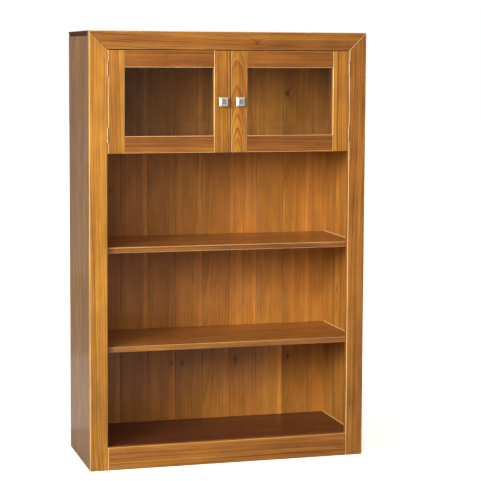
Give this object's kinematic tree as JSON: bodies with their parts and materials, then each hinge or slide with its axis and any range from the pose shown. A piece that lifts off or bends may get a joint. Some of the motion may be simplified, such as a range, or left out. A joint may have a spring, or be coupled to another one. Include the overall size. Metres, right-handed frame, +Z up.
{
  "type": "glazed-top bookcase",
  "caption": "Free-standing pine bookcase with a glazed cupboard on hinged doors above open shelves.",
  "frame": {"origin": "centre of the bounding box's underside, on the floor", "axes": "+Z up, -Y out of the front with the doors, +X to the right seen from the front"},
  "size_m": [0.985, 0.409, 1.5],
  "materials": {
    "frame_pine": "honey-amber stain under satin lacquer",
    "door_pine": "honey-amber stain under satin lacquer",
    "side_pine": "honey-amber stain under satin lacquer",
    "dark_pine": "honey-amber stain under satin lacquer",
    "shelf_pine": "honey-amber stain under satin lacquer",
    "back_pine": "honey-amber stain under satin lacquer, knotty",
    "plain_wood": "bare beech",
    "glass": "clear float glass",
    "knob_metal": "satin nickel plate",
    "antique_brass": "antique brass plate",
    "steel": "zinc-plated steel",
    "brown_plastic": "moulded brown plastic",
    "magnet": "ferrite magnet, dark grey"
  },
  "bodies": {
    "case": {"left_side_panel": "side_pine", "right_side_panel": "side_pine", "top_board": "dark_pine", "bottom_board": "dark_pine", "cupboard_floor": "shelf_pine", "upper_shelf": "shelf_pine", "lower_shelf": "shelf_pine", "back_board_1": "back_pine", "back_board_2": "back_pine", "back_board_3": "back_pine", "back_board_4": "back_pine", "back_board_5": "back_pine", "back_board_6": "back_pine", "back_board_7": "back_pine", "back_board_8": "back_pine", "back_board_9": "back_pine", "back_board_10": "back_pine", "frame_left_stile": "frame_pine", "frame_right_stile": "frame_pine", "frame_top_rail": "frame_pine", "frame_base_rail": "frame_pine", "mitre_dowels": "plain_wood", "frame_dowels": "plain_wood", "top_dowels": "plain_wood", "glue_blocks": "plain_wood", "back_nails": "steel", "frame_hinge_leaves": "antique_brass", "hinge_pins": "antique_brass", "frame_hinge_screws": "antique_brass", "catch_housings": "brown_plastic", "catch_magnets": "magnet", "catch_pole_plates": "steel", "catch_screws": "steel"},
    "left_door": {"left_door_hinge_stile": "door_pine", "left_door_meeting_stile": "door_pine", "left_door_top_rail": "door_pine", "left_door_bottom_rail": "door_pine", "left_door_glass": "glass", "left_door_side_beads": "door_pine", "left_door_cross_beads": "door_pine", "left_door_knob": "knob_metal", "left_door_knob_screw": "steel", "left_door_hinge_leaves": "antique_brass", "left_door_hinge_screws": "antique_brass", "left_door_strike_plate": "steel", "left_door_strike_screw": "steel"},
    "right_door": {"right_door_hinge_stile": "door_pine", "right_door_meeting_stile": "door_pine", "right_door_top_rail": "door_pine", "right_door_bottom_rail": "door_pine", "right_door_glass": "glass", "right_door_side_beads": "door_pine", "right_door_cross_beads": "door_pine", "right_door_knob": "knob_metal", "right_door_knob_screw": "steel", "right_door_hinge_leaves": "antique_brass", "right_door_hinge_screws": "antique_brass", "right_door_strike_plate": "steel", "right_door_strike_screw": "steel"}
  },
  "joints": [
    {"name": "left_door_hinge", "type": "hinge", "parent": "case", "child": "left_door", "pos_m": [-0.4295, -0.1817, 1.261], "axis": [0, 0, -1], "range_deg": [0, 170]},
    {"name": "right_door_hinge", "type": "hinge", "parent": "case", "child": "right_door", "pos_m": [0.4295, -0.1817, 1.261], "axis": [0, 0, 1], "range_deg": [0, 170]}
  ]
}
